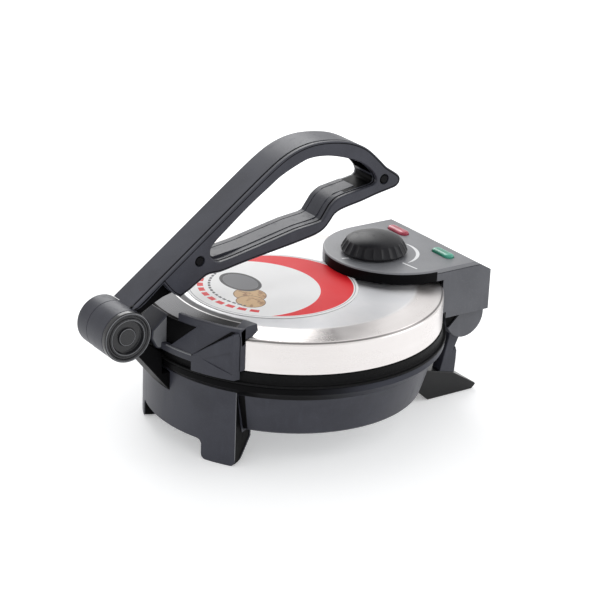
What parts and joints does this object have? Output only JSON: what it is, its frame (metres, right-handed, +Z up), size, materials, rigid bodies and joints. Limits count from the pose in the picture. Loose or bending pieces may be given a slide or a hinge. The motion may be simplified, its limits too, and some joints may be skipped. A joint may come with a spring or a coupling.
{
  "type": "electric roti maker",
  "caption": "Countertop flatbread maker: round heated plates, a hinged steel lid with a knob and lamps on a rear head, and a front-pivoted loop lever that presses the lid shut.",
  "frame": {"origin": "on the table, under the middle of the whole part's footprint with its lid closed and its lever at rest", "axes": "+Z up, +Y from the lever's pivot towards the control head, +X towards the lever's covered side"},
  "size_m": [0.242, 0.334, 0.2233],
  "materials": {
    "shell_plastic": "satin black moulded plastic",
    "dark_plastic": "matt black moulded plastic",
    "head_plastic": "satin dark grey moulded plastic",
    "steel": "fine brushed stainless steel",
    "zinc": "zinc plated steel",
    "black_steel": "blackened steel",
    "coated_plate": "cast aluminium with a black non-stick coating",
    "sheet": "bare pressed sheet",
    "element_tube": "heat-tinted tube",
    "red_lens": "clear red lens",
    "green_lens": "clear green lens",
    "rubber": "black moulded rubber",
    "label": "printed white film",
    "phenolic": "brown moulded phenolic"
  },
  "bodies": {
    "base": {"base_shell": "shell_plastic", "bottom_cover": "sheet", "cover_screw_1": "zinc", "cover_screw_2": "zinc", "cover_screw_3": "zinc", "cover_screw_4": "zinc", "lower_plate": "coated_plate", "lower_element": "element_tube", "lower_shield": "sheet", "lower_spacer_1": "zinc", "lower_spacer_2": "zinc", "lower_spacer_3": "zinc", "terminal_block": "phenolic", "cord_gland": "rubber", "hinge_pin": "zinc", "lever_bracket": "dark_plastic", "bracket_screw_1": "zinc", "bracket_screw_2": "zinc", "pivot_pin": "zinc"},
    "lid": {"lid_pan": "steel", "upper_plate": "coated_plate", "upper_element": "element_tube", "lid_shield": "sheet", "lid_spacer_1": "zinc", "lid_spacer_2": "zinc", "lid_spacer_3": "zinc", "head_housing": "head_plastic", "head_panel": "head_plastic", "panel_stud_1": "zinc", "panel_stud_2": "zinc", "lamp_red": "red_lens", "lamp_green": "green_lens", "thermostat": "phenolic", "front_grip": "shell_plastic", "grip_screw_1": "zinc", "grip_screw_2": "zinc", "label_disc": "label"},
    "knob": {"knob": "dark_plastic", "thermostat_spindle": "zinc"},
    "lever": {"lever_body": "shell_plastic", "lever_cover": "shell_plastic", "lever_screw_1": "black_steel", "lever_screw_2": "black_steel", "pivot_cap": "shell_plastic"}
  },
  "joints": [
    {"name": "lid_hinge", "type": "hinge", "parent": "base", "child": "lid", "pos_m": [0, 0.1445, 0.071], "axis": [-1, 0, 0], "range_deg": [0, 60]},
    {"name": "lever_swing", "type": "hinge", "parent": "base", "child": "lever", "pos_m": [0, -0.1475, 0.101], "axis": [1, 0, 0], "range_deg": [-8.5, 168]},
    {"name": "knob_turn", "type": "hinge", "parent": "lid", "child": "knob", "pos_m": [0, 0.0885, 0.12], "axis": [0, 0, 1], "range_deg": [0, 270]}
  ],
  "couplings": [
    {"joint": "lever_swing", "follows": "lid_hinge", "ratio": 2.8}
  ]
}
